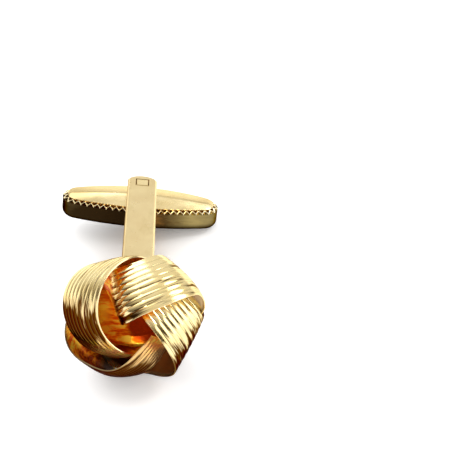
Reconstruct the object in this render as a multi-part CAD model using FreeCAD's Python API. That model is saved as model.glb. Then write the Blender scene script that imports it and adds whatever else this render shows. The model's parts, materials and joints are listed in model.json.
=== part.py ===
import FreeCAD, Part
import math
import os

# Knot cufflink: an interlaced knot of four ribbed straps, two flat arms and a swivelling toggle.
# Bench frame: X along the toggle, -Y from the pivot towards the knot, Z along the pivot, pivot at 0.
# At the end the whole cufflink is laid on its side, +Z up, centred over the origin.

# Knot: a flattened ball that the straps wrap
knot_reach = 22.2
knot_radius = 6.5
knot_depth = 7.6

# Straps
strap_width_share = 0.877
strap_sheet = 0.3
strap_crown = 0.3
rib_height = 0.13
rib_count = 9
underside_facets = 3
strap_stations = 22
weave_lift = 1.0

# Each row places a strap's middle line, tail first: azimuth round the knot from +X, angle from the
# knot's front pole, lift share off the ball, bank and width share, angles in degrees
strap_paths = {
    "strap_left": (
        (70, 160, -0.9, 0, 0.45), (90, 140, 0.2, 0, 0.6), (110, 110, 0.4, 0, 0.85), (135, 85, 0.4, 0, 1),
        (160, 65, 0.1, 0, 1), (195, 50, -0.4, -5, 1), (230, 47, -0.7, -5, 1), (262, 57, -1.4, -5, 0.9),
    ),
    "strap_top": (
        (-20, 160, -1.0, 0, 0.45), (5, 145, -0.2, 0, 0.6), (30, 120, 0.5, 0, 0.85), (55, 90, 0.8, -5, 1),
        (75, 60, 0.9, -25, 1), (105, 47, 0.4, -25, 1), (122, 44, -1.2, -15, 1), (136, 46, -2.6, 0, 0.9),
    ),
    "strap_right": (
        (-120, 160, -1.0, 0, 0.45), (-100, 138, -0.4, 0, 0.7), (-62, 115, 0.2, -5, 1), (-30, 88, 0.4, 0, 1.1),
        (-5, 62, -0.1, -5, 1.05), (20, 50, -0.8, -10, 1), (42, 50, -1.6, -10, 1), (58, 53, -2.0, -10, 0.9),
    ),
    "strap_bottom": (
        (160, 165, -1.0, 0, 0.45), (190, 140, 0.2, 0, 0.6), (220, 100, 0.9, 5, 0.9), (240, 71, 0.9, 5, 1.05),
        (255, 61, 0.9, -5, 1.05), (280, 50, 0.1, -5, 1), (305, 45, -1.2, -5, 1), (328, 51, -2.1, -10, 0.9),
    ),
}

# Back plate and clamp cup at the back of the knot, set by shares of the knot's own sizes
plate_place_share = 0.916
plate_margin = 0.13
plate_thickness = 0.75
cup_place_share = 0.474
cup_depth_share = 0.21
cup_floor_share = 0.6
cup_rim_share = 0.738
cup_sheet = 0.35
stem_radius = 1.0

# Arms
arm_width = 3.4
arm_thickness = 0.8
arm_end_overhang = 1.6
arm_end_sagitta = 0.75
arm_corner_radius = 0.7
arm_spacing_at_pivot = 5.7
arm_spacing_at_knot = 6.4
arm_foot_length = 3.1
arm_bevel = 0.2

# Pivot pin
tenon_width = 1.44
tenon_length = 1.3
tenon_gap = 0.04
tenon_chamfer = 0.1
journal_radius = 1.0
journal_clearance = 0.04
cam_corner_radius = 0.85

# Toggle
toggle_length = 18.3
toggle_width = 5.1
toggle_end_radius = 1.75
toggle_offset = 0.5
toggle_arm_gap = 0.2
tray_wall = 0.35
tray_bottom_round = 0.8
wall_top = 0.35
rim_top = 0.85
rim_sheet = 0.24
rim_wave = 0.22
rim_lid_gap = 0.05
rim_tooth_pitch = 0.74
lid_sheet = 0.3
lid_edge_height = 1.25
lid_lip = 0.1
lid_skirt_height = 0.3
lid_fit = 0.02
lid_ridge_share = 0.5
lid_bulge_share = 0.15
lid_stations = 11
lid_end_share = 0.97

# Bow spring in the toggle
spring_sheet = 0.2
spring_height = 1.0
spring_length = 12.0
spring_gap = 0.04

# Lying at rest
rest_tilt_angle = 11.5
rest_roll_angle = -9.3

# How far cutters overrun, and how near counts as touching
overrun = 1.0
touching = 0.01

X = FreeCAD.Vector(1, 0, 0)
Y = FreeCAD.Vector(0, 1, 0)
Z = FreeCAD.Vector(0, 0, 1)


def at(x, y, z):
    return FreeCAD.Vector(x, y, z)


def block(width, length, height, low_z):
    """A box centred on the pivot axis, from low_z up."""
    return Part.makeBox(width, length, height, at(-width / 2, -length / 2, low_z))


# Straps

def blend(rows, share):
    """A smooth curve that starts and ends on the first and last rows."""
    first = [2 * a - b for a, b in zip(rows[0], rows[1])]
    last = [2 * a - b for a, b in zip(rows[-1], rows[-2])]
    padded = [first, *rows, last]
    spans = len(padded) - 3
    place = share * spans
    start = min(max(int(place), 0), spans - 1)
    f = place - start
    weights = ((1 - f) ** 3, 3 * f**3 - 6 * f**2 + 4, 1 + 3 * f + 3 * f**2 - 3 * f**3, f**3)
    chosen = padded[start:start + 4]
    return [sum(w * row[k] for w, row in zip(weights, chosen)) / 6 for k in range(len(rows[0]))]


def knot_half_depth():
    return knot_depth / 2


def ball_point(rows, share):
    """The strap's middle line, the ball's outward direction there, the bank and the width share."""
    azimuth, polar, lift_share, bank, width_share = blend(rows, share)
    across = math.sin(math.radians(polar))
    out = math.cos(math.radians(polar))
    right = across * math.cos(math.radians(azimuth))
    up = across * math.sin(math.radians(azimuth))
    normal = at(right / knot_radius, -out / knot_half_depth(), up / knot_radius).normalize()
    point = at(right * knot_radius, -knot_reach - out * knot_half_depth(), up * knot_radius)
    return point + normal * (lift_share * weave_lift), normal, bank, width_share


def strap_width():
    return knot_radius * strap_width_share


def strap_profile():
    """Ribbed outside, then the plain inside: offsets across and out, across as a share of half width."""
    pitch = 2 / rib_count
    top = [(-1, 0)]
    for rib in range(rib_count):
        low = -1 + rib * pitch
        top += [(low + pitch / 2, rib_height), (low + pitch, 0)]
    under = [(1 - 2 * k / underside_facets, -strap_sheet) for k in range(underside_facets + 1)]
    return top + under


def strap_section(rows, share):
    step = 1 / (strap_stations * strap_stations)
    point, normal, bank, width_share = ball_point(rows, share)
    ahead = ball_point(rows, share + step)[0]
    behind = ball_point(rows, share - step)[0]
    along = (ahead - behind).normalize()
    side = along.cross(normal).normalize()
    out = side.cross(along)
    lean = math.radians(bank)
    across = side * math.cos(lean) + out * math.sin(lean)
    up = out * math.cos(lean) - side * math.sin(lean)
    half = strap_width() / 2 * width_share
    corners = []
    for x_share, height in strap_profile():
        crown = strap_crown * x_share**2
        corners.append(point + across * (x_share * half) + up * (strap_sheet / 2 + height - crown))
    return Part.makePolygon(corners + corners[:1])


def strap(rows):
    stations = [k / (strap_stations - 1) for k in range(strap_stations)]
    return Part.makeLoft([strap_section(rows, s) for s in stations], True, True)


# Back of the knot

def plate_reach():
    return knot_reach - knot_half_depth() * plate_place_share


def plate_radius():
    """Just past the corners of the arms' feet."""
    return math.hypot(arm_width / 2, arm_spacing_at_knot / 2) + plate_margin


def cup_reach():
    return knot_reach - knot_half_depth() * cup_place_share


def disc(radius, thickness, reach):
    """A disc across the post, its knot side at the reach."""
    return Part.makeCylinder(radius, thickness, at(0, thickness - reach, 0), -Y)


def back_plate():
    plate = disc(plate_radius(), plate_thickness, plate_reach())
    plate = plate.cut(disc(stem_radius, plate_thickness, plate_reach()))
    for arm in (arm_strip(1), arm_strip(-1)):
        plate = plate.cut(arm)
    return plate


def cup_block(sheet):
    """The cup's solid of revolution about the post: a flat floor with a flared wall."""
    floor_y = -cup_reach() - sheet
    rim_y = -cup_reach() - knot_half_depth() * cup_depth_share
    floor = knot_radius * cup_floor_share - sheet / 2
    rim = knot_radius * cup_rim_share - sheet
    return Part.makeCone(floor, rim, floor_y - rim_y, at(0, floor_y, 0), -Y)


def clamp_cup():
    """A flared cup inside the knot, with a stem that is riveted over in the back plate."""
    stem = disc(stem_radius, cup_reach() - plate_reach() + plate_thickness, cup_reach())
    return cup_block(0).cut(cup_block(cup_sheet)).fuse(stem).removeSplitter()


# Arms

def arm_bend_reach():
    return plate_reach() - arm_foot_length


def arm_strip(way):
    """A strip bent once near the knot, way 1 above the toggle and -1 below it."""
    lean = (arm_spacing_at_knot - arm_spacing_at_pivot) / 2 / arm_bend_reach()
    end_z = arm_spacing_at_pivot / 2 - lean * arm_end_overhang
    knot_z = arm_spacing_at_knot / 2
    line = ((arm_end_overhang, end_z), (-arm_bend_reach(), knot_z), (-plate_reach(), knot_z))
    outside = [at(0, y, way * z) for y, z in line]
    inside = [at(0, y, way * (z - arm_thickness)) for y, z in reversed(line)]
    side = Part.Face(Part.makePolygon(outside + inside + outside[:1]))
    side.translate(X * (-arm_width / 2))
    return side.extrude(X * arm_width)


def arm_outline():
    """The strip seen from above: square at the knot, a shallow arc with round corners at the free end."""
    half = arm_width / 2
    corner_y = arm_end_overhang - arm_end_sagitta
    left, right = at(-half, corner_y, 0), at(half, corner_y, 0)
    back_left, back_right = at(-half, -plate_reach(), 0), at(half, -plate_reach(), 0)
    edges = [
        Part.Arc(left, at(0, arm_end_overhang, 0), right).toShape(),
        Part.makeLine(right, back_right),
        Part.makeLine(back_right, back_left),
        Part.makeLine(back_left, left),
    ]
    height = arm_spacing_at_knot + overrun
    face = Part.Face(Part.Wire(edges))
    face.translate(Z * (-height / 2))
    block_of_outline = face.extrude(Z * height)
    corners = [e for e in block_of_outline.Edges if is_end_corner(e, corner_y)]
    return block_of_outline.makeFillet(arm_corner_radius, corners)


def is_end_corner(edge, corner_y):
    box = edge.BoundBox
    return box.DiagonalLength - box.ZLength < touching and abs(box.YMax - corner_y) < touching


def arm(way):
    strip = arm_strip(way).common(arm_outline())
    top = way * arm_spacing_at_pivot / 2
    long_edges = [e for e in strip.Edges if is_outer_long_edge(e, top, way)]
    strip = strip.makeChamfer(arm_bevel, long_edges)
    hole = block(tenon_width + 2 * tenon_gap, tenon_length + 2 * tenon_gap, arm_spacing_at_knot, 0)
    if way < 0:
        hole.translate(Z * (-arm_spacing_at_knot))
    return strip.cut(hole)


def is_outer_long_edge(edge, top, way):
    box = edge.BoundBox
    middle = way * (box.ZMin + box.ZMax) / 2
    long_enough = box.YLength > arm_bend_reach() / 2
    return long_enough and middle > abs(top) - arm_thickness / 2


# Pivot pin

def pivot_pin():
    tall = arm_spacing_at_pivot
    bar = block(tenon_width, tenon_length, tall, -tall / 2)
    arm_inside = tall / 2 - arm_thickness - tenon_gap
    cam_room = Part.makeCylinder(cam_corner_radius, 2 * arm_inside, at(0, 0, -arm_inside), Z)
    outer_edges = [e for e in bar.Edges if e.BoundBox.ZLength < touching]
    bar = bar.makeChamfer(tenon_chamfer, outer_edges)
    ends = bar.cut(Part.makeBox(tall, tall, 2 * arm_inside, at(-tall / 2, -tall / 2, -arm_inside)))
    pin = bar.common(cam_room).fuse(ends)
    for low, high in (journal_low_span(), journal_high_span()):
        pin = pin.fuse(Part.makeCylinder(journal_radius, high - low, at(0, 0, low), Z))
    return pin.removeSplitter()


def journal_low_span():
    """From just above the lower arm to just inside the tray's floor."""
    return tray_floor() - toggle_arm_gap / 2, tray_floor() + tray_wall + journal_clearance


def journal_high_span():
    """Through the lid's roof to just below the upper arm."""
    return wall_top + (lid_top() - wall_top) / 2, lid_top() + toggle_arm_gap / 2


def tray_floor():
    return -(arm_spacing_at_pivot / 2 - arm_thickness - toggle_arm_gap)


def lid_top():
    return arm_spacing_at_pivot / 2 - arm_thickness - toggle_arm_gap


# Toggle

def oval(inset, height):
    """The toggle's outline, parallel inside by the inset: two long arcs and two small end arcs."""
    half_length = toggle_length / 2 - inset
    half_width = toggle_width / 2 - inset
    end = toggle_end_radius - inset
    centre = half_length - end
    side = (centre**2 + half_width**2 - end**2) / (2 * (half_width - end))
    turn = math.atan2(side - half_width, centre)
    touch_x = centre + end * math.cos(turn)
    touch_y = end * math.sin(turn)
    corner = [at(sx * touch_x, sy * touch_y, 0) for sx, sy in ((-1, -1), (1, -1), (1, 1), (-1, 1))]
    edges = [
        Part.Arc(corner[0], at(0, -half_width, 0), corner[1]).toShape(),
        Part.Arc(corner[1], at(half_length, 0, 0), corner[2]).toShape(),
        Part.Arc(corner[2], at(0, half_width, 0), corner[3]).toShape(),
        Part.Arc(corner[3], at(-half_length, 0, 0), corner[0]).toShape(),
    ]
    wire = Part.Wire(edges)
    wire.translate(at(0, -toggle_offset, height))
    return wire


def oval_block(inset, low, high):
    return Part.Face(oval(inset, low)).extrude(Z * (high - low))


def bottom_edges(body, low):
    return [e for e in body.Edges if e.BoundBox.ZMax < low + touching]


def pivot_hole():
    tall = arm_spacing_at_pivot
    return Part.makeCylinder(journal_radius + journal_clearance, tall, at(0, 0, -tall / 2), Z)


def toggle_tray():
    floor = tray_floor()
    outside = oval_block(0, floor, wall_top)
    outside = outside.makeFillet(tray_bottom_round, bottom_edges(outside, floor))
    inside = oval_block(tray_wall, floor + tray_wall, wall_top + overrun)
    inside = inside.makeChamfer(tray_bottom_round - tray_wall, bottom_edges(inside, floor + tray_wall))
    return outside.cut(inside).cut(pivot_hole())


def zigzag(shift):
    """The rim's wavy line, its outer teeth flush with the wall, moved outwards by the shift."""
    line = oval(rim_wave + rim_sheet / 2, wall_top)
    teeth = round(line.Length / rim_tooth_pitch)
    points = line.discretize(Number=2 * teeth + 1)[:-1]
    corners = []
    for k, point in enumerate(points):
        along = (points[(k + 1) % len(points)] - points[k - 1]).normalize()
        outwards = along.cross(Z)
        corners.append(point + outwards * (shift + (rim_wave if k % 2 else -rim_wave)))
    return Part.Face(Part.makePolygon(corners + corners[:1]))


def toggle_rim():
    band = zigzag(rim_sheet / 2).cut(zigzag(-rim_sheet / 2))
    return band.extrude(Z * (rim_top - wall_top))


def lid_section(x, inset):
    """A roof across the toggle: edge, bulged slope, ridge, bulged slope, edge."""
    reach = lid_half_length() - inset
    half = lid_half_width(x * lid_half_length() / reach) - inset
    low = lid_edge_height
    rise = (lid_top() - inset - low) * half / (lid_half_width(0) - inset)
    left, right = at(x, -half - toggle_offset, low), at(x, half - toggle_offset, low)
    ridge = at(x, -toggle_offset, low + rise)
    middle = low + rise * (1 / 2 + lid_bulge_share)
    left_mid = at(x, -half * lid_ridge_share - toggle_offset, middle)
    right_mid = at(x, half * lid_ridge_share - toggle_offset, middle)
    edges = [
        Part.makeLine(right, left),
        Part.Arc(left, left_mid, ridge).toShape(),
        Part.Arc(ridge, right_mid, right).toShape(),
    ]
    return Part.Wire(edges)


def lid_inset():
    """The lid stands clear inside the rim's teeth."""
    return 2 * rim_wave + rim_sheet + rim_lid_gap


def lid_half_length():
    return toggle_length / 2 - lid_inset()


def lid_half_width(x):
    """Half the roof's width at a place along it."""
    inset = lid_inset()
    half_length = toggle_length / 2 - inset
    half_width = toggle_width / 2 - inset
    end = toggle_end_radius - inset
    centre = half_length - end
    side = (centre**2 + half_width**2 - end**2) / (2 * (half_width - end))
    touch = centre * side / (side - end)
    if abs(x) < touch:
        return math.sqrt(side**2 - x**2) - side + half_width
    return math.sqrt(end**2 - (abs(x) - centre) ** 2)


def lid_block(inset):
    reach = (lid_half_length() - inset) * lid_end_share
    turns = [math.pi * (k / (lid_stations - 1) - 1 / 2) for k in range(lid_stations)]
    return Part.makeLoft([lid_section(reach * math.sin(t), inset) for t in turns], True, True)


def toggle_lid():
    """A roof with a lip over a collar, and a skirt that sits inside the tray's wall."""
    low = wall_top - lid_skirt_height
    collar_inset = lid_inset() + lid_lip
    collar = oval_block(collar_inset, low, lid_edge_height)
    skirt = oval_block(tray_wall + lid_fit, low, wall_top)
    inside = oval_block(collar_inset + lid_sheet, low, lid_edge_height)
    solid = lid_block(0).fuse(collar).fuse(skirt)
    return solid.cut(inside.fuse(lid_block(lid_sheet))).cut(pivot_hole())


def bow_spring():
    """A bowed strip on the knot side of the pin: its middle by the cam, its ends on the tray's wall."""
    middle = -(cam_corner_radius + spring_gap)
    half = spring_length / 2
    wall = lid_half_width(half) + lid_inset() - tray_wall
    end = spring_sheet + spring_gap - wall - toggle_offset
    low = tray_floor() + tray_bottom_round
    near = Part.Arc(at(-half, end, low), at(0, middle, low), at(half, end, low)).toShape()
    far_end, far_middle = end - spring_sheet, middle - spring_sheet
    far = Part.Arc(at(half, far_end, low), at(0, far_middle, low), at(-half, far_end, low)).toShape()
    right = Part.makeLine(at(half, end, low), at(half, far_end, low))
    left = Part.makeLine(at(-half, far_end, low), at(-half, end, low))
    return Part.Face(Part.Wire([near, right, far, left])).extrude(Z * spring_height)


# Assembly

def lay_down(pieces):
    """Tilt and roll the cufflink as it lies, then set it on the ground under its middle."""
    for shape in pieces.values():
        shape.rotate(at(0, 0, 0), -Y, rest_roll_angle)
        shape.rotate(at(0, 0, 0), -X, rest_tilt_angle)
    box = Part.makeCompound(list(pieces.values())).optimalBoundingBox(False, False)
    shift = at(-(box.XMin + box.XMax) / 2, -(box.YMin + box.YMax) / 2, -box.ZMin)
    for shape in pieces.values():
        shape.translate(shift)
    return shift


pieces = {name: strap(rows) for name, rows in strap_paths.items()}
pieces["back_plate"] = back_plate()
pieces["clamp_cup"] = clamp_cup()
pieces["arm_upper"] = arm(1)
pieces["arm_lower"] = arm(-1)
pieces["pivot_pin"] = pivot_pin()
pieces["toggle_tray"] = toggle_tray()
pieces["toggle_rim"] = toggle_rim()
pieces["toggle_lid"] = toggle_lid()
pieces["bow_spring"] = bow_spring()

shift = lay_down(pieces)
print("pivot at", shift)

os.makedirs("parts", exist_ok=True)
for name, shape in pieces.items():
    print(name, shape.isValid(), len(shape.Solids), round(shape.Volume, 3))
    shape.exportStep("parts/" + name + ".step")
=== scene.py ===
import json
import math

import bmesh
import bpy
import numpy as np
from mathutils import Matrix, Vector


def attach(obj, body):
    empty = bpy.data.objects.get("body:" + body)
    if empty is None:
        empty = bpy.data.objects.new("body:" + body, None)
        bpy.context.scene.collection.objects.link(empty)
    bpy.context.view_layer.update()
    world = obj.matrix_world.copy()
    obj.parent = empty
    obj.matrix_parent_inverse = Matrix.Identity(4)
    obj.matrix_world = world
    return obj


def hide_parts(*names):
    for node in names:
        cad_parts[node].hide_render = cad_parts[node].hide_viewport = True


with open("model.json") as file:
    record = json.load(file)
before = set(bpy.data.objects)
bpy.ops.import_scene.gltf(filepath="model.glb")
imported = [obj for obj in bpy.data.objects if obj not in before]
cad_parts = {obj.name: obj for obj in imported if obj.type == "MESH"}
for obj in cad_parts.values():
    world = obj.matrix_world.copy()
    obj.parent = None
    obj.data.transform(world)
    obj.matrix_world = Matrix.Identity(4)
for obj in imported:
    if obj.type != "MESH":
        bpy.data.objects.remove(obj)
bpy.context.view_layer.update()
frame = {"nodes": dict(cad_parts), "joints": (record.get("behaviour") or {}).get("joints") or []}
scene = bpy.context.scene
nodes = frame["nodes"]
MM = 0.001
WELD = 1e-8

# The bench frame of the part's source: millimetres, pivot at 0, X along the toggle, -Y to the knot.
# The cufflink lies tilted and rolled on the ground.
REST_TILT, REST_ROLL = 11.5, -9.3
PIVOT = next(j for j in frame["joints"] if j["name"] == "toggle_swivel")["pos_m"]
LAY = (Matrix.Translation(PIVOT)
       @ Matrix.Rotation(math.radians(REST_TILT), 4, (-1, 0, 0))
       @ Matrix.Rotation(math.radians(REST_ROLL), 4, (0, -1, 0)))
LAY_TURN = np.array(LAY.to_3x3())
LAY_SHIFT = np.array(LAY.to_translation())


def lay(points):
    """Bench millimetres to row metres."""
    return np.asarray(points, float) * MM @ LAY_TURN.T + LAY_SHIFT


# Heights on the toggle, above the pivot
WALL_TOP, RIM_TOP, LID_TOP = 0.35, 0.58, 1.82


# Helpers for node materials

def link(nt, value, socket):
    """Links a socket to another, or sets its value."""
    if isinstance(value, bpy.types.NodeSocket):
        nt.links.new(value, socket)
    elif isinstance(value, (tuple, list)) and len(value) == 3 and socket.type == "RGBA":
        socket.default_value = (*value, 1)
    else:
        socket.default_value = value


def new_material(name):
    mat = bpy.data.materials.new(name)
    mat.use_nodes = True
    nt = mat.node_tree
    nt.nodes.clear()
    out = nt.nodes.new("ShaderNodeOutputMaterial")
    bsdf = nt.nodes.new("ShaderNodeBsdfPrincipled")
    nt.links.new(bsdf.outputs[0], out.inputs["Surface"])
    return mat, nt, bsdf


def object_coords(nt):
    return nt.nodes.new("ShaderNodeTexCoord").outputs["Object"]


def bench_coords(nt):
    """The rest place in bench millimetres, as a vector and as x, y and z."""
    m = nt.nodes.new("ShaderNodeMapping")
    m.vector_type = "TEXTURE"
    m.inputs["Location"].default_value = LAY.to_translation()
    m.inputs["Rotation"].default_value = LAY.to_euler()
    m.inputs["Scale"].default_value = (MM, MM, MM)
    nt.links.new(object_coords(nt), m.inputs["Vector"])
    s = nt.nodes.new("ShaderNodeSeparateXYZ")
    nt.links.new(m.outputs[0], s.inputs[0])
    return m.outputs[0], s.outputs[0], s.outputs[1], s.outputs[2]


def strap_coords(nt):
    """Millimetres along and across a strap, from its UV map."""
    uv = nt.nodes.new("ShaderNodeUVMap")
    uv.uv_map = "strap"
    return uv.outputs[0]


def noise(nt, vector, scale, detail, rough, stretch=(1, 1, 1)):
    m = nt.nodes.new("ShaderNodeMapping")
    m.inputs["Scale"].default_value = stretch
    nt.links.new(vector, m.inputs["Vector"])
    n = nt.nodes.new("ShaderNodeTexNoise")
    n.inputs["Scale"].default_value = scale
    n.inputs["Detail"].default_value = detail
    n.inputs["Roughness"].default_value = rough
    nt.links.new(m.outputs[0], n.inputs["Vector"])
    return n.outputs["Fac"]


def ramp(nt, fac, stops):
    """Colour by place."""
    r = nt.nodes.new("ShaderNodeValToRGB")
    els = r.color_ramp.elements
    while len(els) < len(stops):
        els.new(0.5)
    for e, (place, col) in zip(els, stops):
        e.position = place
        e.color = (*col, 1)
    link(nt, fac, r.inputs["Fac"])
    return r.outputs["Color"]


def spread(nt, value, span, low=0.0, high=1.0, kind="LINEAR"):
    """Maps a span of values to low and high, and holds those beyond its ends."""
    m = nt.nodes.new("ShaderNodeMapRange")
    m.interpolation_type = kind
    m.inputs["From Min"].default_value = span[0]
    m.inputs["From Max"].default_value = span[1]
    m.inputs["To Min"].default_value = low
    m.inputs["To Max"].default_value = high
    link(nt, value, m.inputs["Value"])
    return m.outputs[0]


def ease(nt, value, span, low=0.0, high=1.0):
    """The same with soft ends."""
    return spread(nt, value, span, low, high, "SMOOTHSTEP")


def math_node(nt, kind, a, b=0.0):
    m = nt.nodes.new("ShaderNodeMath")
    m.operation = kind
    link(nt, a, m.inputs[0])
    link(nt, b, m.inputs[1])
    return m.outputs[0]


def plus(nt, a, b):
    return math_node(nt, "ADD", a, b)


def times(nt, a, b):
    return math_node(nt, "MULTIPLY", a, b)


def size_of(nt, a):
    return math_node(nt, "ABSOLUTE", a)


def mix(nt, fac, a, b):
    m = nt.nodes.new("ShaderNodeMix")
    m.data_type = "RGBA"
    link(nt, fac, m.inputs["Factor"])
    link(nt, a, m.inputs["A"])
    link(nt, b, m.inputs["B"])
    return m.outputs["Result"]


def attribute(nt, name):
    a = nt.nodes.new("ShaderNodeAttribute")
    a.attribute_name = name
    return a.outputs["Fac"]


def bump(nt, bsdf, height, distance):
    b = nt.nodes.new("ShaderNodeBump")
    b.inputs["Strength"].default_value = 1.0
    b.inputs["Distance"].default_value = distance
    nt.links.new(height, b.inputs["Height"])
    nt.links.new(b.outputs[0], bsdf.inputs["Normal"])


# Noises: scale, detail, roughness and, where it isn't even, stretch
TONE_DRIFT = (300, 3, 0.55)
ROUGH_DRIFT = (900, 5, 0.55)
SCRATCHES = (6000, 3, 0.6)
RIPPLES = (1.0, 2, 0.5, (0.8, 0.8, 2.6))
BROAD_STREAKS = (1.5, 3, 0.6, (0.16, 1, 1))
FINE_STREAKS = (7.0, 2, 0.5, (0.05, 1, 1))
WALL_WANDER = (0.8, 4, 0.6, (0.5, 1, 2))
LID_SMEARS = (0.7, 4, 0.6, (0.3, 1, 1))
ARM_SMEARS = (0.9, 4, 0.6, (1, 0.35, 1))

# Plated metal

# Colour of the metal's reflection at a glancing angle: clean, browned by tarnish and painted shade, under the
# painted amber, and on the tray, darkened along with its painted dark reflection
SHEEN = (1.0, 0.92, 0.7)
BROWN_SHEEN = (0.3, 0.15, 0.05)
AMBER_SHEEN = (1.0, 0.42, 0.06)
TRAY_SHEEN = (0.3, 0.22, 0.12)
# How much metal reflection stays where the amber is painted, and the specular level there: mostly diffuse, so
# that the painted amber shows
AMBER_METALLIC, AMBER_SPECULAR = 0.22, 0.1
SCRATCH_DEPTH = 0.00002
# Spans of noise that the two golds and the roughness drift over
TONE_SPAN, ROUGH_SPAN = (0.35, 0.65), (0.3, 0.7)


def metal(name, light, deep, rough, grain=(1, 1, 1), tint=None, scratch=0.12, dents=0.0,
          sheen=SHEEN, painted_amber=None):
    """The tone drifts between two golds, the roughness drifts, and fine scratches cross it. tint(nt, tone)
    lays tarnish, wear and painted light and shade over the tone, sheen may be a colour or sheen(nt), and the
    last argument says where the painted amber reflection covers the metal, which is mostly diffuse there."""
    mat, nt, bsdf = new_material(name)
    place = object_coords(nt)
    tone = ramp(nt, noise(nt, place, *TONE_DRIFT), list(zip(TONE_SPAN, (deep, light))))
    if tint:
        tone = tint(nt, tone)
    nt.links.new(tone, bsdf.inputs["Base Color"])
    bsdf.inputs["Metallic"].default_value = 1.0
    if painted_amber:
        bare = spread(nt, painted_amber(nt), (0, 1), 1.0, AMBER_METALLIC)
        nt.links.new(bare, bsdf.inputs["Metallic"])
        bsdf.inputs["Specular IOR Level"].default_value = AMBER_SPECULAR
    link(nt, sheen(nt) if callable(sheen) else sheen, bsdf.inputs["Specular Tint"])
    worn = spread(nt, noise(nt, place, *ROUGH_DRIFT), ROUGH_SPAN, *rough)
    nt.links.new(worn, bsdf.inputs["Roughness"])
    height = times(nt, noise(nt, place, *SCRATCHES, grain), scratch)
    if dents:
        ripples = noise(nt, bench_coords(nt)[0], *RIPPLES)
        height = plus(nt, height, times(nt, ripples, dents))
    bump(nt, bsdf, height, SCRATCH_DEPTH)
    return mat


# Inside of the knot: its colours of painted light, shade and warm reflection, and the spans over which they
# change in bench millimetres

# Painted light and shade: the amber and its glints stand in for light bouncing inside the gold, the lit amber
# is painted light, and the deep and shaded amber, the red brown, the near black and the dark brown are
# painted shade
AMBER = ((0.38, (0.72, 0.11, 0.002)), (0.49, (1.0, 0.30, 0.006)), (0.58, (1.0, 0.66, 0.055)))
DEEP_AMBER = ((0.4, (0.3, 0.035, 0.001)), (0.5, (0.55, 0.085, 0.002)), (0.6, (0.9, 0.28, 0.008)))
LIT_AMBER = (1.0, 0.68, 0.045)
SHADED_AMBER = (0.5, 0.08, 0.003)
RED_BROWN = (0.3, 0.06, 0.01)
PALE_GOLD = (0.92, 0.8, 0.5)
NEAR_BLACK, DARK_BROWN = (0.02, 0.006, 0.001), (0.14, 0.045, 0.01)
STEM_GOLD = (0.86, 0.64, 0.27)
REAR_Y = (-21.9, -21.2)
SHADED_Z, SHADED_AMOUNT = (-0.4, 1.2), 0.7
LIT_FROM_Z, LIT_TO_Z = (-2.8, -1.6), (-0.6, 0.4)
LIT_X, LIT_AMOUNT = (-3.4, -2.0), 0.8
DEEP_Z = (-5.4, -4.4)
ARMS_Z, ARMS_AMOUNT = (3.2, 5.0), 0.75
GOLD_RIGHT_X = (2.8, 4.2)
GOLD_LEFT_X, GOLD_LEFT_Z = (-5.0, -4.0), (0.5, 2.0)
# The painted shade begins beyond a sloping plane, sooner on the right
FALL_Y, FALL_Z = -4.86, -7.5
FALL_RIGHT_X, FALL_RIGHT = (1.0, 3.0), 14
DARK_FALL = (147, 152)
DARK_X, DARK_LEFT = (-4.2, -2.4), 0.2
# Painted shade as a dark red patch on the cup's floor, and the cup's limit towards its stem
PATCH_CENTRE, PATCH_EDGE = (1.3, 0.0, -2.3), (1.5, 2.2)
STEM_Y = (-19.2, -18.8)


def inside_tone(nt):
    """Painted light and shade inside the knot: amber with painted glints for light bouncing in the gold,
    painted shade in the upper back, painted light where light gets in, painted shade darker low down and dark
    red by the arms, pale gold at the sides, and painted shade nearly black beyond a sloping plane.
    """
    place, x, y, z = bench_coords(nt)
    ripples = noise(nt, place, *RIPPLES)
    rear = ease(nt, y, REAR_Y)
    tone = ramp(nt, ripples, AMBER)
    tone = mix(nt, times(nt, ease(nt, z, SHADED_Z, 0, SHADED_AMOUNT), rear), tone, SHADED_AMBER)
    lit = times(nt, ease(nt, z, LIT_FROM_Z), ease(nt, z, LIT_TO_Z, 1, 0))
    lit = times(nt, lit, ease(nt, x, LIT_X, LIT_AMOUNT, 0))
    tone = mix(nt, lit, tone, LIT_AMBER)
    tone = mix(nt, ease(nt, z, DEEP_Z, 1, 0), tone, ramp(nt, ripples, DEEP_AMBER))
    tone = mix(nt, times(nt, ease(nt, z, ARMS_Z, 0, ARMS_AMOUNT), rear), tone, RED_BROWN)
    right = ease(nt, x, GOLD_RIGHT_X)
    left = times(nt, ease(nt, x, GOLD_LEFT_X, 1, 0), ease(nt, z, GOLD_LEFT_Z))
    tone = mix(nt, math_node(nt, "MAXIMUM", right, left), tone, PALE_GOLD)
    fall = plus(nt, times(nt, y, FALL_Y), times(nt, z, FALL_Z))
    fall = plus(nt, fall, spread(nt, x, FALL_RIGHT_X, 0, FALL_RIGHT))
    dark = times(nt, ease(nt, fall, DARK_FALL), ease(nt, x, DARK_X, DARK_LEFT, 1))
    return mix(nt, dark, tone, mix(nt, spread(nt, x, FALL_RIGHT_X), NEAR_BLACK, DARK_BROWN))


def cup_inside(nt):
    """1 in the cup, 0 on the end of its stem, which shows behind the back plate."""
    y = bench_coords(nt)[2]
    return spread(nt, y, STEM_Y, 1, 0)


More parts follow.
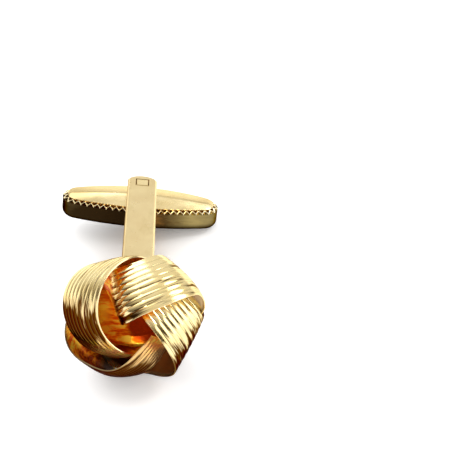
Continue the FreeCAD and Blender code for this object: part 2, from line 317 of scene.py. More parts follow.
def cup_tint(nt, tone):
    """The tone as a painted dark red shade patch on the cup's floor, the painted amber of the inside round
    it, gold on the stem's end.
    """
    _, x, _, z = bench_coords(nt)
    flat = nt.nodes.new("ShaderNodeCombineXYZ")
    link(nt, x, flat.inputs[0])
    link(nt, z, flat.inputs[2])
    away = nt.nodes.new("ShaderNodeVectorMath")
    away.operation = "DISTANCE"
    link(nt, flat.outputs[0], away.inputs[0])
    away.inputs[1].default_value = PATCH_CENTRE
    tone = mix(nt, ease(nt, away.outputs["Value"], PATCH_EDGE), tone, inside_tone(nt))
    return mix(nt, cup_inside(nt), STEM_GOLD, tone)


def cup_sheen(nt):
    return mix(nt, cup_inside(nt), SHEEN, AMBER_SHEEN)


# Outside of the straps

# Brown of tarnish and painted shade, and dark of the grooves
STRAP_BROWN, STRAP_GROOVE = (0.085, 0.032, 0.005), (0.16, 0.07, 0.015)
# Painted warm reflection of the amber inside, and the pale of the cut edges
STRAP_WARM, STRAP_EDGE = (0.80, 0.46, 0.16), (0.86, 0.68, 0.36)
BROAD_SHARE, FINE_SHARE = 0.7, 0.3
STREAK_SPAN, STREAK_SWING = (0.36, 0.64), (-0.5, 0.5)
BROWN_SPAN = (0.25, 0.75)


def strap_brown(nt):
    """Where a strap is browned in streaks along its ribs, by tarnish and by painted shade."""
    place = strap_coords(nt)
    broad = times(nt, noise(nt, place, *BROAD_STREAKS), BROAD_SHARE)
    fine = times(nt, noise(nt, place, *FINE_STREAKS), FINE_SHARE)
    streaks = spread(nt, plus(nt, broad, fine), STREAK_SPAN, *STREAK_SWING)
    return ease(nt, plus(nt, streaks, attribute(nt, "tarnish_and_shade")), BROWN_SPAN)


def strap_tint(nt, tone):
    """Tarnish and painted shade as brown streaks along the ribs, a painted warm reflection of the amber
    inside, dark grooves, the painted amber inside and pale cut edges.
    """
    tone = mix(nt, attribute(nt, "warm_reflection"), tone, STRAP_WARM)
    tone = mix(nt, strap_brown(nt), tone, STRAP_BROWN)
    tone = mix(nt, attribute(nt, "groove"), tone, STRAP_GROOVE)
    tone = mix(nt, attribute(nt, "under"), tone, inside_tone(nt))
    return mix(nt, attribute(nt, "edge"), tone, STRAP_EDGE)


def strap_sheen(nt):
    outside = mix(nt, strap_brown(nt), SHEEN, BROWN_SHEEN)
    return mix(nt, attribute(nt, "under"), outside, AMBER_SHEEN)


# Where the painted amber reflection lies: on the undersides and over the heads
def strap_painted_amber(nt):
    return attribute(nt, "under")


# Toggle's tints

TRAY_ENDS, WANDER_SPAN, WANDER_SWING = (-9.2, 9.2), (0.3, 0.7), (-0.05, 0.05)
# Painted dark reflection along the tray's wall, end to end
TRAY_WALL_REFLECTION = (
    (0.0, (0.05, 0.032, 0.012)), (0.1, (0.022, 0.012, 0.004)), (0.5, (0.018, 0.009, 0.003)),
    (0.6, (0.2, 0.1, 0.025)), (0.67, (0.08, 0.046, 0.014)), (0.84, (0.30, 0.23, 0.085)),
    (1.0, (0.16, 0.12, 0.05)),
)
# Painted shade, darker at the wall's foot
TRAY_FOOT_SHADE, TRAY_FOOT_Z, TRAY_FOOT_AMOUNT = (0.02, 0.012, 0.005), (-1.4, -0.7), 0.8
COLLAR_BROWN = (0.42, 0.24, 0.07)
RIM_DULL_Z, RIM_DULL_AMOUNT = (RIM_TOP - 0.19, RIM_TOP - 0.05), 0.95
LID_SMEAR, LID_SMEAR_SPAN, LID_SMEAR_AMOUNT = (0.66, 0.5, 0.22), (0.48, 0.72), 0.55
# Painted shade: darker on the far slope, at the near slope's left end, where it also tones down a highlight,
# and in a thin line along the ridge
LID_FAR_SHADE, LID_FAR_SHADE_AMOUNT = (0.62, 0.47, 0.22), 0.6
LID_LEFT_SHADE, LID_LEFT_SHADE_X, LID_LEFT_SHADE_AMOUNT = (0.42, 0.33, 0.16), (-8.5, -2.5), 0.95
LID_RIDGE_SHADE = (0.4, 0.26, 0.09)


def tray_dark_reflection(nt, tone):
    """Painted dark reflection on the wall that covers the tone: near black at one end, brown by the arms,
    then khaki, with painted shade darker at its foot.
    """
    place, x, _, z = bench_coords(nt)
    wander = spread(nt, noise(nt, place, *WALL_WANDER), WANDER_SPAN, *WANDER_SWING)
    wall = ramp(nt, plus(nt, spread(nt, x, TRAY_ENDS), wander), TRAY_WALL_REFLECTION)
    return mix(nt, ease(nt, z, TRAY_FOOT_Z, TRAY_FOOT_AMOUNT, 0.0), wall, TRAY_FOOT_SHADE)


def rim_tint(nt, tone):
    """Bright on the crimped top, tarnished down in the gaps."""
    z = bench_coords(nt)[3]
    return mix(nt, ease(nt, z, RIM_DULL_Z, RIM_DULL_AMOUNT, 0.0), tone, COLLAR_BROWN)


def lid_tint(nt, tone):
    """Pale on the roof, with painted shade on the far slope and at the near one's left end, brown on the
    collar under its lip, and a thin painted shade line along the ridge."""
    place, x, _, _ = bench_coords(nt)
    smear = spread(nt, noise(nt, place, *LID_SMEARS), LID_SMEAR_SPAN, 0.0, LID_SMEAR_AMOUNT)
    tone = mix(nt, smear, tone, LID_SMEAR)
    far = attribute(nt, "far")
    tone = mix(nt, times(nt, far, LID_FAR_SHADE_AMOUNT), tone, LID_FAR_SHADE)
    near = math_node(nt, "SUBTRACT", 1.0, far)
    tone = mix(nt, times(nt, ease(nt, x, LID_LEFT_SHADE_X, LID_LEFT_SHADE_AMOUNT, 0), near), tone, LID_LEFT_SHADE)
    tone = mix(nt, attribute(nt, "collar"), tone, COLLAR_BROWN)
    return mix(nt, attribute(nt, "ridge"), tone, LID_RIDGE_SHADE)


# Tints of the arms and the pin. The tenon's lines run between half sizes in bench millimetres.

ARM_SMEAR, ARM_SMEAR_SPAN, ARM_SMEAR_AMOUNT = (0.62, 0.47, 0.2), (0.52, 0.75), 0.5
TENON_LINE, TENON_X, TENON_Y, TENON_SHIFT = (0.36, 0.23, 0.07), (0.775, 0.79), (0.77, 0.8), 0.05
# Painted shade along the arm's left edge
ARM_EDGE_SHADE, ARM_EDGE_SHADE_X, ARM_EDGE_SHADE_AMOUNT = (0.34, 0.18, 0.05), (-1.67, -1.58), 0.85
PIN_LINE, PIN_X, PIN_Y = (0.42, 0.29, 0.1), (0.66, 0.71), (0.58, 0.63)


def arm_tint(nt, tone):
    """A dark line round the riveted tenon, painted shade along the left edge, and faint smears along the
    strip.
    """
    place, x, y, _ = bench_coords(nt)
    smear = spread(nt, noise(nt, place, *ARM_SMEARS), ARM_SMEAR_SPAN, 0.0, ARM_SMEAR_AMOUNT)
    tone = mix(nt, smear, tone, ARM_SMEAR)
    tenon = times(nt, spread(nt, size_of(nt, x), TENON_X, 1, 0),
                  spread(nt, size_of(nt, plus(nt, y, TENON_SHIFT)), TENON_Y, 1, 0))
    tone = mix(nt, tenon, tone, TENON_LINE)
    return mix(nt, spread(nt, x, ARM_EDGE_SHADE_X, ARM_EDGE_SHADE_AMOUNT, 0), tone, ARM_EDGE_SHADE)


def pin_tint(nt, tone):
    """A dark chamfer round the tenon's end."""
    _, x, y, _ = bench_coords(nt)
    chamfer = math_node(nt, "MAXIMUM", spread(nt, size_of(nt, x), PIN_X), spread(nt, size_of(nt, y), PIN_Y))
    return mix(nt, chamfer, tone, PIN_LINE)


# Materials. The grain stretches the scratches along a piece.

LONG_GRAIN, ARM_GRAIN, SPRING_GRAIN = (0.3, 1, 1), (0.25, 1, 1), (0.2, 1, 1)
BRIGHT, SATIN = (0.12, 0.24), (0.26, 0.36)

STRAP_GOLD = metal("ribbed_gold", (0.92, 0.78, 0.43), (0.86, 0.68, 0.31), BRIGHT, tint=strap_tint,
                   sheen=strap_sheen, painted_amber=strap_painted_amber)
PLAIN_GOLD = metal("plain_gold", (0.88, 0.66, 0.28), (0.80, 0.55, 0.19), BRIGHT)
# Painted shade: the cup's dark red base colour is the shade of its floor, and round it the cup takes the
# painted amber of the inside
CUP_GOLD = metal("cup_gold", (0.40, 0.035, 0.002), (0.30, 0.02, 0.001), (0.2, 0.3), tint=cup_tint,
                 scratch=0.03, dents=2.5, sheen=cup_sheen, painted_amber=cup_inside)
ARM_GOLD = metal("satin_gold", (0.84, 0.69, 0.39), (0.77, 0.61, 0.33), SATIN, ARM_GRAIN, arm_tint)
# Painted shade: a darker copy of the arms' gold for the lower arm, which lies in shade
LOWER_ARM_GOLD = metal("satin_gold_shaded", (0.52, 0.30, 0.09), (0.42, 0.22, 0.06), SATIN, ARM_GRAIN,
                       arm_tint)
PIN_GOLD = metal("pin_gold", (0.91, 0.76, 0.43), (0.86, 0.7, 0.38), (0.24, 0.34), tint=pin_tint)
TRAY_GOLD = metal("tray_gold", (0.82, 0.60, 0.27), (0.66, 0.44, 0.16), BRIGHT, LONG_GRAIN, tray_dark_reflection,
                  sheen=TRAY_SHEEN)
RIM_GOLD = metal("rim_gold", (0.95, 0.85, 0.58), (0.86, 0.72, 0.42), (0.16, 0.3), tint=rim_tint)
LID_GOLD = metal("lid_gold", (0.91, 0.76, 0.43), (0.85, 0.68, 0.35), (0.18, 0.3), LONG_GRAIN, lid_tint)
GROOVE_GOLD = metal("groove_gold", (0.5, 0.28, 0.08), (0.36, 0.17, 0.04), (0.25, 0.4))
STEEL = metal("spring_steel", (0.62, 0.62, 0.63), (0.5, 0.5, 0.52), (0.25, 0.4), SPRING_GRAIN)

# Solids that show as they are
NODE_MATERIALS = {
    "back_plate": PLAIN_GOLD,
    "clamp_cup": CUP_GOLD,
    "arm_upper": ARM_GOLD,
    "arm_lower": LOWER_ARM_GOLD,
    "pivot_pin": PIN_GOLD,
    "toggle_tray": TRAY_GOLD,
    "bow_spring": STEEL,
}
# Angles in degrees above which an edge looks sharp
SOLID_SHARP, STRAP_SHARP, RIM_SHARP, LID_SHARP = 30, 48, 35, 40


def smooth_faces(mesh, sharp):
    for p in mesh.polygons:
        p.use_smooth = True
    mesh.set_sharp_from_angle(angle=math.radians(sharp))


for name, mat in NODE_MATERIALS.items():
    mesh = nodes[name].data
    mesh.materials.clear()
    mesh.materials.append(mat)
    smooth_faces(mesh, SOLID_SHARP)

# Straps, finer than their solids

KNOT_REACH, KNOT_RADIUS, KNOT_HALF_DEPTH = 22.2, 6.5, 3.8
STRAP_WIDTH, STRAP_CROWN, STRAP_SKIN = 5.7, 0.3, 0.155
STRAP_STATIONS, UNDERSIDE_STEPS, TANGENT_STEP = 150, 12, 0.001
RIB_COUNT, RIB_POINTS, RIB_HEIGHT = 9, 10, 0.13
RIB_POWER, RIB_GAIN, EDGE_DROP = 0.55, 1.2, -0.5
# Width of a groove's dark, and how it grows with the tarnish and painted shade and with the ribs' relief:
# base and slope
GROOVE_WIDTH = 0.4
GROOVE_BROWNING, GROOVE_RELIEF = (0.45, 0.7), (0.1, 1.1)
# Each strap's path on the ball, tail to head: azimuth, polar angle, lift, bank, share of the width
STRAP_PATHS = {
    "strap_left": (
        (70, 160, -0.9, 0, 0.45), (90, 140, 0.2, 0, 0.6), (110, 110, 0.4, 0, 0.85),
        (135, 85, 0.4, 0, 1), (160, 65, 0.1, 0, 1), (195, 50, -0.4, -5, 1),
        (230, 47, -0.7, -5, 1), (262, 57, -1.4, -5, 0.9),
    ),
    "strap_top": (
        (-20, 160, -1.0, 0, 0.45), (5, 145, -0.2, 0, 0.6), (30, 120, 0.5, 0, 0.85),
        (55, 90, 0.8, -5, 1), (75, 60, 0.9, -25, 1), (105, 47, 0.4, -25, 1),
        (122, 44, -1.2, -15, 1), (136, 46, -2.6, 0, 0.9),
    ),
    "strap_right": (
        (-120, 160, -1.0, 0, 0.45), (-100, 138, -0.4, 0, 0.7), (-62, 115, 0.2, -5, 1),
        (-30, 88, 0.4, 0, 1.1), (-5, 62, -0.1, -5, 1.05), (20, 50, -0.8, -10, 1),
        (42, 50, -1.6, -10, 1), (58, 53, -2.0, -10, 0.9),
    ),
    "strap_bottom": (
        (160, 165, -1.0, 0, 0.45), (190, 140, 0.2, 0, 0.6), (220, 100, 0.9, 5, 0.9),
        (240, 71, 0.9, 5, 1.05), (255, 61, 0.9, -5, 1.05), (280, 50, 0.1, -5, 1),
        (305, 45, -1.2, -5, 1), (328, 51, -2.1, -10, 0.9),
    ),
}
# Tarnish and painted shade along each strap, tail to head: place, amount near one edge, amount near the other
STRAP_TARNISH_AND_SHADE = {
    "strap_left": (
        (0, 0.7, 0.7), (0.32, 0.2, 0.15), (0.44, 0.1, 0.1), (0.5, 0.3, -0.1), (0.57, 0.75, 0.45),
        (0.63, 0.9, 1.1), (0.7, 0.8, 1.2), (0.76, 0.5, 1), (0.82, 0.3, 0.8), (0.88, 0.1, 0.4),
        (1, 0.1, 0.3),
    ),
    "strap_top": (
        (0, 0.7, 0.7), (0.38, 0.4, 0.4), (0.44, 0.2, 0.2), (0.5, 0.12, 0.12), (0.58, 0.25, 0.15),
        (0.66, 0.35, 0), (0.76, 0.6, -0.1), (0.84, 0.9, 0.15), (0.9, 1.1, 0.8), (1, 1.3, 1.3),
    ),
    "strap_right": (
        (0, 1.4, 1.4), (0.34, 1.2, 1.2), (0.46, 1, 1.05), (0.52, 0.85, 0.75), (0.57, 0.55, 0.35),
        (0.63, 0.2, 0), (0.7, 0, -0.1), (0.85, 0, 0), (1, 0.2, 0.2),
    ),
    "strap_bottom": (
        (0, 0.9, 0.9), (0.4, 1.1, 1.3), (0.62, 1.05, 1.3), (0.7, 0.75, 1.1), (0.76, 0.5, 0.8),
        (0.82, 0.35, 0.35), (0.9, 0.1, 0.1), (1, 0, 0.1),
    ),
}
# How strongly the ribs stand out along each strap, tail to head
STRAP_RELIEF = {
    "strap_left": ((0, 0.6), (0.3, 0.2), (0.5, 0.25), (0.62, 0.4), (0.8, 0.6), (1, 0.6)),
    "strap_top": ((0, 0.6), (0.45, 0.25), (0.6, 0.3), (0.7, 0.5), (0.84, 0.6), (0.9, 0.15), (1, 0.1)),
    "strap_right": ((0, 1), (0.4, 0.6), (0.55, 0.42), (1, 0.4)),
    "strap_bottom": ((0, 0.8), (0.5, 0.6), (1, 0.7)),
}
# Painted warm reflection of the amber inside, tail to head
STRAP_WARM_REFLECTION = {
    "strap_left": ((0, 0), (0.5, 0.05), (0.63, 0.5), (1, 0.7)),
    "strap_top": ((0, 0), (0.7, 0.05), (0.85, 0.5), (1, 0.9)),
    "strap_right": ((0, 0), (0.78, 0), (0.9, 0.6), (1, 0.9)),
    "strap_bottom": ((0, 0.3), (0.6, 0.4), (0.75, 0.7), (1, 0.9)),
}
# Painted amber reflection that runs over a strap's outside at its head: place, amount near one edge, near the
# other
STRAP_PAINTED_AMBER = {
    "strap_left": ((0, 0, 0), (0.74, 0, 0), (0.8, 0.5, 0), (0.88, 0.65, 0.5), (1, 0.8, 0.8)),
    "strap_top": ((0, 0, 0), (0.83, 0, 0), (0.88, 0.5, 0.5), (0.92, 0.95, 0.95), (1, 1, 1)),
    "strap_right": ((0, 0, 0), (1, 0, 0)),
    "strap_bottom": ((0, 0, 0), (0.8, 0, 0), (0.86, 0.1, 0.6), (0.92, 0.6, 0.7), (1, 0.7, 0.7)),
}
# How bright each strap's cut edges are, tail to head
STRAP_EDGE_SHINE = {
    "strap_left": ((0, 1), (1, 1)),
    "strap_top": ((0, 1), (1, 1)),
    "strap_right": ((0, 0.2), (0.5, 0.25), (0.6, 0.8), (1, 0.8)),
    "strap_bottom": ((0, 0.3), (1, 0.3)),
}
# Extra reach of a strap's edge inside the knot: side, start, end, millimetres, curl
STRAP_REACH = {
    "strap_right": (-1, 0.0, 0.3, 1.4, 0.8),
    "strap_bottom": (1, 0.14, 0.56, 1.6, 1.5),
    "strap_top": (-1, 0.08, 0.42, 0.9, 0.8),
}
NO_REACH = (1, 0, 1, 0, 0)


def blend(rows, share):
    """A smooth curve that starts and ends on the first and last rows."""
    rows = np.asarray(rows, float)
    padded = np.vstack([2 * rows[0] - rows[1], rows, 2 * rows[-1] - rows[-2]])
    spans = len(padded) - 3
    place = share * spans
    start = min(max(int(place), 0), spans - 1)
    f = place - start
    weights = np.array([(1 - f) ** 3, 3 * f**3 - 6 * f**2 + 4, 1 + 3 * f + 3 * f**2 - 3 * f**3, f**3]) / 6
    return weights @ padded[start:start + 4]


def ball_point(rows, share):
    """A place on a strap's path, the ball's normal there, the bank and the share of the width."""
    azimuth, polar, lift, bank, width = blend(rows, share)
    across, out = math.sin(math.radians(polar)), math.cos(math.radians(polar))
    right, up = across * math.cos(math.radians(azimuth)), across * math.sin(math.radians(azimuth))
    normal = np.array([right / KNOT_RADIUS, -out / KNOT_HALF_DEPTH, up / KNOT_RADIUS])
    normal /= np.linalg.norm(normal)
    point = np.array([right * KNOT_RADIUS, -KNOT_REACH - out * KNOT_HALF_DEPTH, up * KNOT_RADIUS])
    return point + normal * lift, normal, bank, width


def strap_frames(rows):
    """Along a strap: share of its length, place, direction across, direction out, half width."""
    made = []
    for k in range(STRAP_STATIONS):
        share = k / (STRAP_STATIONS - 1)
        point, normal, bank, width = ball_point(rows, share)
        along = ball_point(rows, share + TANGENT_STEP)[0] - ball_point(rows, share - TANGENT_STEP)[0]
        along /= np.linalg.norm(along)
        side = np.cross(along, normal)
        side /= np.linalg.norm(side)
        out = np.cross(side, along)
        lean = math.radians(bank)
        across = side * math.cos(lean) + out * math.sin(lean)
        up = out * math.cos(lean) - side * math.sin(lean)
        made.append((share, point, across, up, STRAP_WIDTH / 2 * width))
    return made


def strap_section():
    """Round the section, ribbed outside first: share across, height, rib, groove, edge, underside."""
    count = RIB_COUNT * RIB_POINTS
    section = []
    for i in range(count + 1):
        x = -1 + 2 * i / count
        wave = abs(math.sin(math.pi * RIB_COUNT * (x + 1) / 2))
        edge = 1.0 if i in (0, count) else 0.0
        rib = EDGE_DROP if edge else wave**RIB_POWER * RIB_GAIN - RIB_GAIN
        groove = max(0.0, 1 - wave / GROOVE_WIDTH) * (1 - edge)
        section.append((x, STRAP_SKIN, rib, groove, edge, 0.0))
    for i in range(UNDERSIDE_STEPS + 1):
        edge = 1.0 if i in (0, UNDERSIDE_STEPS) else 0.0
        section.append((1 - 2 * i / UNDERSIDE_STEPS, 0.0, 0.0, 0.0, edge, 1 - edge))
    return section


def swell(share, start, end):
    """Rises from 0 at the start to 1 halfway and falls to 0 at the end."""
    t = min(max((share - start) / (end - start), 0.0), 1.0)
    return math.sin(math.pi * t) ** 2


def along_table(table, share, column=1):
    return np.interp(share, table[:, 0], table[:, column])


def between_edges(pair, x):
    """A value between those near the two edges, which lie at x -1 and 1."""
    near, far = pair
    return near + (far - near) * (x + 1) / 2


def groove_dark(groove, browning, stand):
    by_browning = min(1.0, GROOVE_BROWNING[0] + GROOVE_BROWNING[1] * browning)
    by_relief = min(1.0, GROOVE_RELIEF[0] + GROOVE_RELIEF[1] * stand)
    return groove * by_browning * by_relief


def mark(mesh, label, values):
    """Gives each point a value that the materials read."""
    layer = mesh.attributes.new(label, "FLOAT", "POINT")
    layer.data.foreach_set("value", np.array(values, np.float32))


def make_strap(name, rows):
    section = strap_section()
    tables = (STRAP_TARNISH_AND_SHADE, STRAP_PAINTED_AMBER, STRAP_RELIEF, STRAP_WARM_REFLECTION, STRAP_EDGE_SHINE)
    tarnish_and_shade, amber_table, relief, warm_reflection, shine = (np.array(t[name]) for t in tables)
    grown, start, end, extra, curl = STRAP_REACH.get(name, NO_REACH)
    verts, marks, uvs = [], [], []
    travel, last = 0.0, None
    for share, point, across, up, half in strap_frames(rows):
        travel += 0.0 if last is None else float(np.linalg.norm(point - last))
        last = point
        # Tarnish with painted shade, and where the amber reflection is painted, from the tables
        brown, painted_amber = ([along_table(t, share, column) for column in (1, 2)] for t in (tarnish_and_shade, amber_table))
        stand, warm, bright = (along_table(t, share) for t in (relief, warm_reflection, shine))
        more = extra * swell(share, start, end)
        for x, height, rib, groove, edge, under in section:
            outer = max(0.0, x * grown)
            grow = more * outer
            lifted = height + rib * RIB_HEIGHT * stand - STRAP_CROWN * x * x - curl * grow * outer
            verts.append(point + across * (x * half + grown * grow) + up * lifted)
            browning = between_edges(brown, x)
            edge *= bright
            amber = max(under, between_edges(painted_amber, x) * (1 - edge))
            marks.append((groove_dark(groove, browning, stand), edge, amber, browning, warm))
            uvs.append((travel, x * half))
    m = len(section)
    faces = [(k * m + i, k * m + (i + 1) % m, (k + 1) * m + (i + 1) % m, (k + 1) * m + i)
             for k in range(STRAP_STATIONS - 1) for i in range(m)]
    faces.append(tuple(range(m))[::-1])
    faces.append(tuple((STRAP_STATIONS - 1) * m + i for i in range(m)))
    mesh = bpy.data.meshes.new(name + "_fine")
    mesh.from_pydata([tuple(v) for v in lay(verts)], [], faces)
    for label, values in zip(("groove", "edge", "under", "tarnish_and_shade", "warm_reflection"), zip(*marks)):
        mark(mesh, label, values)
    corner = np.zeros(len(mesh.loops), np.int32)
    mesh.loops.foreach_get("vertex_index", corner)
    mesh.uv_layers.new(name="strap").data.foreach_set("uv", np.array(uvs, np.float32)[corner].ravel())
    bm = bmesh.new()
    bm.from_mesh(mesh)
    bmesh.ops.recalc_face_normals(bm, faces=bm.faces)
    for f in bm.faces:
        f.smooth = True
    for e in bm.edges:
        e.smooth = len(e.link_faces) < 2 or e.calc_face_angle() < math.radians(STRAP_SHARP)
    bm.to_mesh(mesh)
    bm.free()
    mesh.materials.append(STRAP_GOLD)
    ob = bpy.data.objects.new(name + "_fine", mesh)
    scene.collection.objects.link(ob)
    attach(ob, "post")
    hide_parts(name)


for name, rows in STRAP_PATHS.items():
    make_strap(name, rows)

# Toggle's rim and lid, finer than their solids

# Outline: length, width, the ends' radius, and the middle's shift from the pivot
TOGGLE_LENGTH, TOGGLE_WIDTH, TOGGLE_END, TOGGLE_OFFSET = 18.3, 5.1, 1.75, 0.5
OUTLINE_STEPS = 6000
# Zigzag: swing to each side, sheet, pitch, rise of its inner corners, points per tooth, sharpness
RIM_WAVE, RIM_SHEET, TOOTH_PITCH, TOOTH_LIFT = 0.19, 0.25, 0.74, 0.15
TOOTH_POINTS, TOOTH_SHARPNESS = 14, 0.96
# Its section: place across the sheet, height from the rim's top, share of the rise
RIM_FOLD = ((0.5, -0.2, 0), (0.5, -0.05, 1), (0.3, 0.0, 1), (-0.3, 0.0, 1), (-0.5, -0.05, 1), (-0.5, -0.2, 0))
# Band under the zigzag and floor of the groove: inset from the outline and height
BAND_POINTS, BAND_TOP, GROOVE_FLOOR = 240, RIM_TOP - 0.11, RIM_TOP - 0.16
BAND = ((0.0, WALL_TOP), (0.0, GROOVE_FLOOR), (0.05, BAND_TOP), (0.3, BAND_TOP), (0.3, WALL_TOP))
GROOVE = ((0.31, WALL_TOP), (0.31, GROOVE_FLOOR), (0.7, GROOVE_FLOOR), (0.7, WALL_TOP))
# Lid: inset and height of its edges, its foot, the ridge's shift, its line's half breadth and fade
# towards the ends, the slopes' bulge, points across and along, and where these stop short of the ends
LID_NEAR_INSET, LID_NEAR_EDGE = 0.58, 0.86
LID_FAR_INSET, LID_FAR_EDGE = 0.46, 1.2
LID_END_EDGE, LID_FOOT = 0.74, 0.5
RIDGE_SHIFT, RIDGE_HALF, RIDGE_FADE, LID_BULGE = 0.5, 0.1, 3, 0.25
LID_ACROSS, LID_ALONG, LID_STOP = 33, 100, 0.9995
# Collar: drop from the lid's edge, or none where it ends at the foot, and how brown it is
COLLAR = ((0.04, 0.3), (0.12, 1.0), (None, 1.0))
HOLE_RADIUS, HOLE_SIDES, HOLE_SPAN = 1.04, 48, (0.0, 3.0)


def oval_arcs():
    """End arc's centre and radius, side arc's centre and radius, and the direction where they meet."""
    centre = TOGGLE_LENGTH / 2 - TOGGLE_END
    half = TOGGLE_WIDTH / 2
    side = (centre**2 + half**2 - TOGGLE_END**2) / (2 * (half - TOGGLE_END))
    return centre, TOGGLE_END, side - half, side, math.atan2(side - half, centre)


def oval_point(turn, inset):
    """Bench x and y on the toggle's outline where its outward direction is the turn."""
    centre, end, drop, side, meet = oval_arcs()
    c, s = math.cos(turn), math.sin(turn)
    if abs(s) < math.sin(meet):
        return math.copysign(centre, c) + (end - inset) * c, (end - inset) * s - TOGGLE_OFFSET
    return (side - inset) * c, -math.copysign(drop, s) + (side - inset) * s - TOGGLE_OFFSET


def oval_walk(inset):
    """Directions round the outline, and the length walked to each."""
    turns = np.linspace(0, 2 * math.pi, OUTLINE_STEPS + 1)
    points = np.array([oval_point(t, inset) for t in turns])
    return turns, np.concatenate([[0], np.cumsum(np.linalg.norm(np.diff(points, axis=0), axis=1))])


def even_turns(count, inset):
    """Directions that walk the outline in even steps."""
    turns, walk = oval_walk(inset)
    return np.interp(np.linspace(0, walk[-1], count, endpoint=False), walk, turns)


def ring_mesh(rings):
    """Faces that join closed rings of equal length into a closed band, the last ring back to the first."""
    n = len(rings[0])
    verts = [p for ring in rings for p in ring]
    faces = []
    for r in range(len(rings)):
        a, b = r * n, (r + 1) % len(rings) * n
        faces += [(a + i, a + (i + 1) % n, b + (i + 1) % n, b + i) for i in range(n)]
    return verts, faces


def add_piece(name, verts, faces, materials, slots, sharp, marks=None):
    mesh = bpy.data.meshes.new(name)
    mesh.from_pydata([tuple(v) for v in lay(verts)], [], faces)
    for mat in materials:
        mesh.materials.append(mat)
    mesh.polygons.foreach_set("material_index", np.array(slots, np.int32))
    for label, values in (marks or {}).items():
        mark(mesh, label, values)
    bm = bmesh.new()
    bm.from_mesh(mesh)
    bmesh.ops.remove_doubles(bm, verts=bm.verts, dist=WELD)
    bmesh.ops.recalc_face_normals(bm, faces=bm.faces)
    bm.to_mesh(mesh)
    bm.free()
    smooth_faces(mesh, sharp)
    ob = bpy.data.objects.new(name, mesh)
    scene.collection.objects.link(ob)
    return ob


def zigzag(place):
    """The rim's swing at a place in teeth, from nearly straight runs."""
    swing = math.asin(TOOTH_SHARPNESS * math.sin(2 * math.pi * place))
    return RIM_WAVE * swing / math.asin(TOOTH_SHARPNESS)


def make_rim():
    """A crimped edge: a zigzag fold, the band under it that carries the wall up, and the groove's floor."""
    middle = RIM_WAVE + RIM_SHEET / 2
    teeth = round(oval_walk(middle)[1][-1] / TOOTH_PITCH)
    turns = even_turns(teeth * TOOTH_POINTS, middle)
    waves = [zigzag(k / TOOTH_POINTS) for k in range(len(turns))]
    rings = []
    for across, height, share in RIM_FOLD:
        ring = []
        for turn, wave in zip(turns, waves):
            rise = share * TOOTH_LIFT * (1 + wave / RIM_WAVE) / 2
            ring.append((*oval_point(turn, middle + wave - across * RIM_SHEET), RIM_TOP + height + rise))
        rings.append(ring)
    verts, faces = ring_mesh(rings)
    slots = [0] * len(faces)
    turns = even_turns(BAND_POINTS, 0)
    for slot, profile in ((1, BAND), (2, GROOVE)):
        more, extra = ring_mesh([[(*oval_point(t, inset), z) for t in turns] for inset, z in profile])
        faces += [tuple(i + len(verts) for i in f) for f in extra]
        slots += [slot] * len(extra)
        verts = verts + more
    ob = add_piece("rim_fine", verts, faces, (RIM_GOLD, TRAY_GOLD, GROOVE_GOLD), slots, RIM_SHARP)
    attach(ob, "toggle")
    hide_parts("toggle_rim")


def lid_half(x, inset):
    """Half the lid's breadth at x."""
    centre, end, drop, side, meet = oval_arcs()
    if abs(x) <= (side - inset) * math.cos(meet):
        return math.sqrt((side - inset) ** 2 - x * x) - drop
    return math.sqrt(max((end - inset) ** 2 - (abs(x) - centre) ** 2, 0.0))


def crowded(count):
    """Places from -1 to 1 that crowd towards the ends."""
    return np.sin(np.linspace(-math.pi / 2, math.pi / 2, count))


def make_lid():
    """A ridged roof, lower on the near side and at its ends, with its collar and the pin's hole."""
    across, along = LID_ACROSS, LID_ALONG
    shares = crowded(across)
    reach = TOGGLE_LENGTH / 2 - LID_NEAR_INSET
    wide = TOGGLE_WIDTH / 2 - LID_NEAR_INSET
    verts, ridge, beyond = [], [], []
    for x in reach * crowded(along) * LID_STOP:
        near, far = lid_half(x, LID_NEAR_INSET), lid_half(x, LID_FAR_INSET)
        size = near / wide
        rise = (size + 1 - (x / reach) ** 2) / 2
        crest = -RIDGE_SHIFT * size
        top = LID_END_EDGE + rise * (LID_TOP - LID_END_EDGE)
        for share in shares:
            y = share * (far if share > 0 else near)
            off = (y - crest) / ((far if y > crest else -near) - crest)
            edge = LID_END_EDGE + rise * ((LID_FAR_EDGE if y > crest else LID_NEAR_EDGE) - LID_END_EDGE)
            verts.append((x, y - TOGGLE_OFFSET, edge + (top - edge) * (1 - off) * (1 + LID_BULGE * off)))
            fade = min(1.0, max(0.0, RIDGE_FADE * size - 1))
            ridge.append(max(0.0, 1 - abs(y - crest) / RIDGE_HALF) * fade)
            beyond.append(1.0 if y > crest else 0.0)
    faces = [(k * across + i, k * across + i + 1, (k + 1) * across + i + 1, (k + 1) * across + i)
             for k in range(along - 1) for i in range(across - 1)]
    border = ([k * across for k in range(along)]
              + [(along - 1) * across + i for i in range(1, across)]
              + [k * across + across - 1 for k in range(along - 2, -1, -1)]
              + list(range(across - 2, 0, -1)))
    n, low = len(border), len(verts)
    collar = [0.0] * low
    for drop, brown in COLLAR:
        for i in border:
            x, y, z = verts[i]
            verts.append((x, y, LID_FOOT if drop is None else z - drop))
        collar += [brown] * n
    rings = [border] + [list(range(low + k * n, low + k * n + n)) for k in range(len(COLLAR))]
    for upper, lower in zip(rings, rings[1:]):
        faces += [(upper[i], upper[(i + 1) % n], lower[(i + 1) % n], lower[i]) for i in range(n)]
    faces.append(tuple(rings[-1]))
    plain = [0.0] * (len(COLLAR) * n)
    marks = {"ridge": ridge + plain, "far": beyond + plain, "collar": collar}
    ob = add_piece("lid_fine", verts, faces, (LID_GOLD,), [0] * len(faces), LID_SHARP, marks)
    cut_hole(ob)
    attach(ob, "toggle")
    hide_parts("toggle_lid")


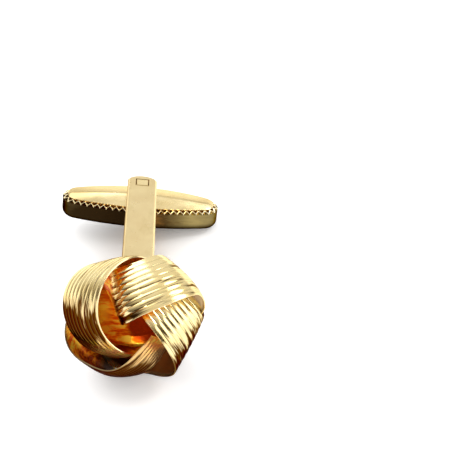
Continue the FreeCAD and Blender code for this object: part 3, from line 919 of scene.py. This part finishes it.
def cut_hole(ob):
    """Takes the pin's hole out of a piece."""
    n = HOLE_SIDES
    turns = np.linspace(0, 2 * math.pi, n, endpoint=False)
    verts = [(HOLE_RADIUS * math.cos(t), HOLE_RADIUS * math.sin(t), z) for z in HOLE_SPAN for t in turns]
    faces = [(i, (i + 1) % n, n + (i + 1) % n, n + i) for i in range(n)]
    faces += [tuple(range(n))[::-1], tuple(range(n, 2 * n))]
    cutter = add_piece("hole_cutter", verts, faces, (LID_GOLD,), [0] * len(faces), RIM_SHARP)
    cut = ob.modifiers.new("hole", "BOOLEAN")
    cut.operation = "DIFFERENCE"
    cut.solver = "EXACT"
    cut.object = cutter
    done = bpy.data.meshes.new_from_object(ob.evaluated_get(bpy.context.evaluated_depsgraph_get()))
    ob.modifiers.clear()
    ob.data = done
    bpy.data.objects.remove(cutter)


make_rim()
make_lid()

# Floor

FLOOR_SIZE, FLOOR_WHITE, FLOOR_ROUGHNESS, FLOOR_GLOW = 6, (0.95, 0.955, 0.97, 1), 0.9, 0.15
bpy.ops.mesh.primitive_plane_add(size=FLOOR_SIZE, location=(0, 0, 0))
floor = bpy.context.object
floor.name = "floor"
mat, nt, bsdf = new_material("floor_white")
bsdf.inputs["Base Color"].default_value = FLOOR_WHITE
bsdf.inputs["Roughness"].default_value = FLOOR_ROUGHNESS
bsdf.inputs["Specular IOR Level"].default_value = 0.0
bsdf.inputs["Emission Color"].default_value = (1, 1, 1, 1)
bsdf.inputs["Emission Strength"].default_value = FLOOR_GLOW
floor.data.materials.append(mat)

# Light: a studio with a bright back and top, darker in front

STUDIO_BACK, STUDIO_TOP, STUDIO_SPAN, STUDIO_STRENGTH = 0.35, 0.5, (-0.4, 0.7), 0.9
STUDIO_TONES = (
    (0.0, (0.02, 0.014, 0.008)), (0.3, (0.12, 0.09, 0.055)), (0.48, (0.45, 0.41, 0.35)),
    (0.63, (0.95, 0.93, 0.89)), (1.0, (1.15, 1.15, 1.15)),
)
world = bpy.data.worlds.new("studio")
scene.world = world
world.use_nodes = True
wt = world.node_tree
back = wt.nodes["Background"]
way = wt.nodes.new("ShaderNodeSeparateXYZ")
wt.links.new(wt.nodes.new("ShaderNodeTexCoord").outputs["Generated"], way.inputs[0])
glow = plus(wt, times(wt, way.outputs[1], STUDIO_BACK), times(wt, way.outputs[2], STUDIO_TOP))
wt.links.new(ramp(wt, spread(wt, glow, STUDIO_SPAN), STUDIO_TONES), back.inputs[0])
back.inputs[1].default_value = STUDIO_STRENGTH

# Lamps: name, direction, width and height in metres, power in watts
LAMP_DISTANCE = 0.3
SOFTBOXES = (
    ("key", (-0.45, 0.5, 0.9), (0.26, 0.26), 0.45),
    ("right", (0.8, 0.25, 0.75), (0.1, 0.16), 0.22),
    ("fill", (-0.05, -0.8, 0.6), (0.08, 0.08), 0.29),
    ("front", (0.88, -0.38, 0.28), (0.2, 0.22), 0.3),
)
for name, direction, size, power in SOFTBOXES:
    light = bpy.data.lights.new(name, "AREA")
    light.shape = "RECTANGLE"
    light.size, light.size_y = size
    light.energy = power
    ob = bpy.data.objects.new(name, light)
    scene.collection.objects.link(ob)
    d = Vector(direction).normalized()
    ob.location = d * LAMP_DISTANCE
    ob.rotation_euler = (-d).to_track_quat("-Z", "Y").to_euler()

# Camera: its place in bench millimetres, and its right, up and back directions

CAMERA_AT = (-2.1565, -123.8914, 77.6844)
CAMERA_AXES = (
    (0.993001, -0.025722, 0.115271),
    (-0.082663, 0.545723, 0.833879),
    (-0.084355, -0.837571, 0.539777),
)
CAMERA_SENSOR, CAMERA_LENS, CAMERA_CLIP = 36, 98.5, (0.005, 10)
camera = bpy.data.cameras.new("camera")
camera.sensor_width = CAMERA_SENSOR
camera.lens = CAMERA_LENS
camera.clip_start, camera.clip_end = CAMERA_CLIP
cam = bpy.data.objects.new("camera", camera)
scene.collection.objects.link(cam)
cam.matrix_world = (Matrix.Translation(Vector(lay([CAMERA_AT])[0]))
                    @ (LAY.to_3x3() @ Matrix(CAMERA_AXES).transposed()).to_4x4())
scene.camera = cam
scene.view_settings.view_transform = "Standard"
